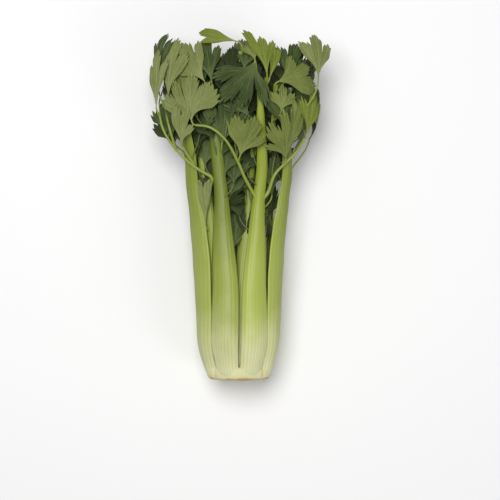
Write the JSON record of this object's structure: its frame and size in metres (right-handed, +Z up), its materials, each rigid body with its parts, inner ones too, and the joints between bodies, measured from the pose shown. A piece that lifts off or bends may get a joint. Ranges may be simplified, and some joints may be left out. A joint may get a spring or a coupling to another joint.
{
  "type": "head of celery",
  "caption": "Head of celery lying on its side: ribbed stalks joined at a cut root base, thin side branches and fan-shaped toothed leaves.",
  "frame": {"origin": "on the surface the head lies on, under the middle of its box", "axes": "+Z up; +Y along the head from the cut root end to the leaf tips; +X to the right when seen from above with the leaves away"},
  "size_m": [0.1816, 0.3574, 0.1035],
  "materials": {
    "base": "cream white root base with a pale brown cut face",
    "stalk": "satin ribbed stalk, cream at the base to yellow green",
    "branch": "satin yellow green",
    "leaf_pale": "matte pale green leaf",
    "leaf_bright": "matte yellow green leaf",
    "leaf_olive": "matte olive green leaf",
    "leaf_dark": "matte dark green leaf"
  },
  "bodies": {
    "root": {"base": "base", "stalk_outer_1": "stalk", "stalk_outer_2": "stalk", "stalk_outer_3": "stalk", "stalk_outer_4": "stalk", "stalk_outer_5": "stalk", "stalk_outer_6": "stalk", "stalk_outer_7": "stalk", "stalk_outer_8": "stalk", "stalk_middle_1": "stalk", "stalk_middle_2": "stalk", "stalk_middle_3": "stalk", "stalk_middle_4": "stalk", "stalk_heart_1": "stalk", "stalk_heart_2": "stalk", "stalk_heart_3": "stalk", "branch_4_left": "branch", "branch_4_right": "branch", "branch_4_top": "branch", "branch_2_left": "branch", "branch_2_up": "branch", "branch_1_side": "branch", "leaf_4_left_tip": "leaf_pale", "leaf_4_left_side": "leaf_olive", "leaf_4_right_side": "leaf_olive", "leaf_4_right_tip": "leaf_bright", "leaf_4_top": "leaf_dark", "leaf_4_back": "leaf_olive", "leaf_4_low": "leaf_dark", "leaf_middle_2_tip": "leaf_olive", "leaf_middle_2_left": "leaf_dark", "leaf_middle_2_side": "leaf_olive", "leaf_middle_1_tip": "leaf_bright", "leaf_middle_1_right": "leaf_bright", "leaf_2_left_up": "leaf_pale", "leaf_2_left_tip": "leaf_pale", "leaf_2_tip": "leaf_olive", "leaf_2_low": "leaf_pale", "leaf_1_side": "leaf_pale", "leaf_1_tip": "leaf_dark", "leaf_1_low": "leaf_dark", "leaf_3_tip": "leaf_dark", "leaf_3_left": "leaf_pale", "leaf_heart_1_tip": "leaf_bright", "leaf_heart_1_right": "leaf_dark", "leaf_heart_2_tip": "leaf_dark", "leaf_heart_3_tip": "leaf_dark", "leaf_5_tip": "leaf_pale", "leaf_5_left": "leaf_dark", "leaf_5_right": "leaf_olive", "leaf_5_low": "leaf_dark", "leaf_middle_3_tip": "leaf_olive", "leaf_6_tip": "leaf_olive", "leaf_6_left": "leaf_pale", "leaf_7_tip": "leaf_olive", "leaf_7_left": "leaf_pale", "leaf_7_right": "leaf_olive", "leaf_8_tip": "leaf_olive", "leaf_8_right": "leaf_pale", "leaf_middle_4_tip": "leaf_dark"}
  },
  "joints": []
}
